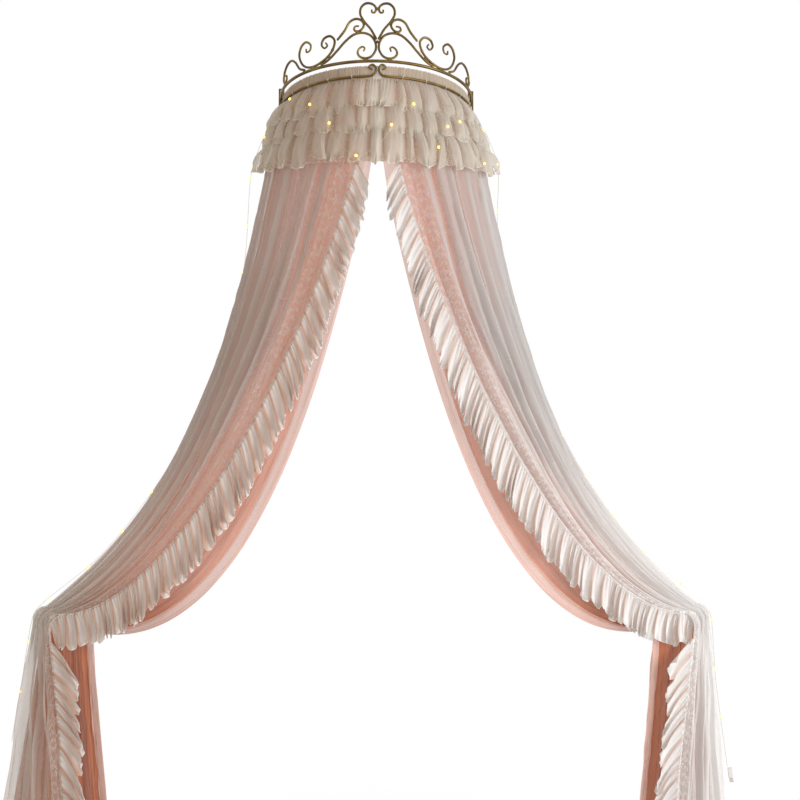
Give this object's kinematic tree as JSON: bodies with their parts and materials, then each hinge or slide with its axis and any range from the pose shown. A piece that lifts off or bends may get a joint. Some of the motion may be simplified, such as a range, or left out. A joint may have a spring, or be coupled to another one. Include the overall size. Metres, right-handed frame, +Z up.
{
  "type": "bed crown canopy",
  "caption": "Half-round scrolled metal bed crown for a wall, with a three-tier ruffled valance and two layers of sheer drapes swept aside to wall hooks, and a string of small lights.",
  "frame": {"origin": "middle of the flat back bar's wall face, 20 mm below the crown rail's centreline", "axes": "+Y points into the wall, -Y out over the bed, +X to the right as seen from the bed's foot, +Z up"},
  "size_m": [2.2098, 0.4226, 2.546],
  "materials": {
    "bronze_iron": "antique bronze-gold, hand rubbed",
    "zinc_steel": "zinc plated",
    "white_lace": "sheer white lace with small sprigs",
    "white_chiffon": "translucent white chiffon ruffle",
    "peach_voile": "sheer peach voile",
    "cotton_tape": "plain cotton heading tape",
    "plug_plastic": "white moulded plastic",
    "light_wire": "fine copper wire with clear warm white bulbs"
  },
  "bodies": {
    "root": {"back_bar": "bronze_iron", "bar_screw_1": "zinc_steel", "bar_screw_2": "zinc_steel", "fall_ruffle_left": "white_chiffon", "fall_ruffle_right": "white_chiffon", "heading_tape": "cotton_tape", "heart_left": "bronze_iron", "heart_right": "bronze_iron", "hook_knob_left": "bronze_iron", "hook_knob_right": "bronze_iron", "hook_plate_left": "bronze_iron", "hook_plate_right": "bronze_iron", "hook_rod_left": "bronze_iron", "hook_rod_right": "bronze_iron", "hook_screw_left_1": "zinc_steel", "hook_screw_left_2": "zinc_steel", "hook_screw_right_1": "zinc_steel", "hook_screw_right_2": "zinc_steel", "inner_drape_left": "peach_voile", "inner_drape_right": "peach_voile", "light_string": "light_wire", "lower_wire_left": "bronze_iron", "lower_wire_right": "bronze_iron", "lyre_scroll_left": "bronze_iron", "lyre_scroll_right": "bronze_iron", "main_scroll_left": "bronze_iron", "main_scroll_right": "bronze_iron", "outer_drape_left": "white_lace", "outer_drape_right": "white_lace", "plate_screw_left_1": "zinc_steel", "plate_screw_left_2": "zinc_steel", "plate_screw_right_1": "zinc_steel", "plate_screw_right_2": "zinc_steel", "s_scroll_left": "bronze_iron", "s_scroll_right": "bronze_iron", "side_scroll_left": "bronze_iron", "side_scroll_right": "bronze_iron", "string_plug": "plug_plastic", "string_plug_shell": "zinc_steel", "sweep_ruffle_left": "white_chiffon", "sweep_ruffle_right": "white_chiffon", "top_rail": "bronze_iron", "valance_base": "white_chiffon", "valance_tier_bottom": "white_chiffon", "valance_tier_middle": "white_chiffon", "valance_tier_top": "white_chiffon", "wall_plate_left": "bronze_iron", "wall_plate_right": "bronze_iron"}
  },
  "joints": []
}
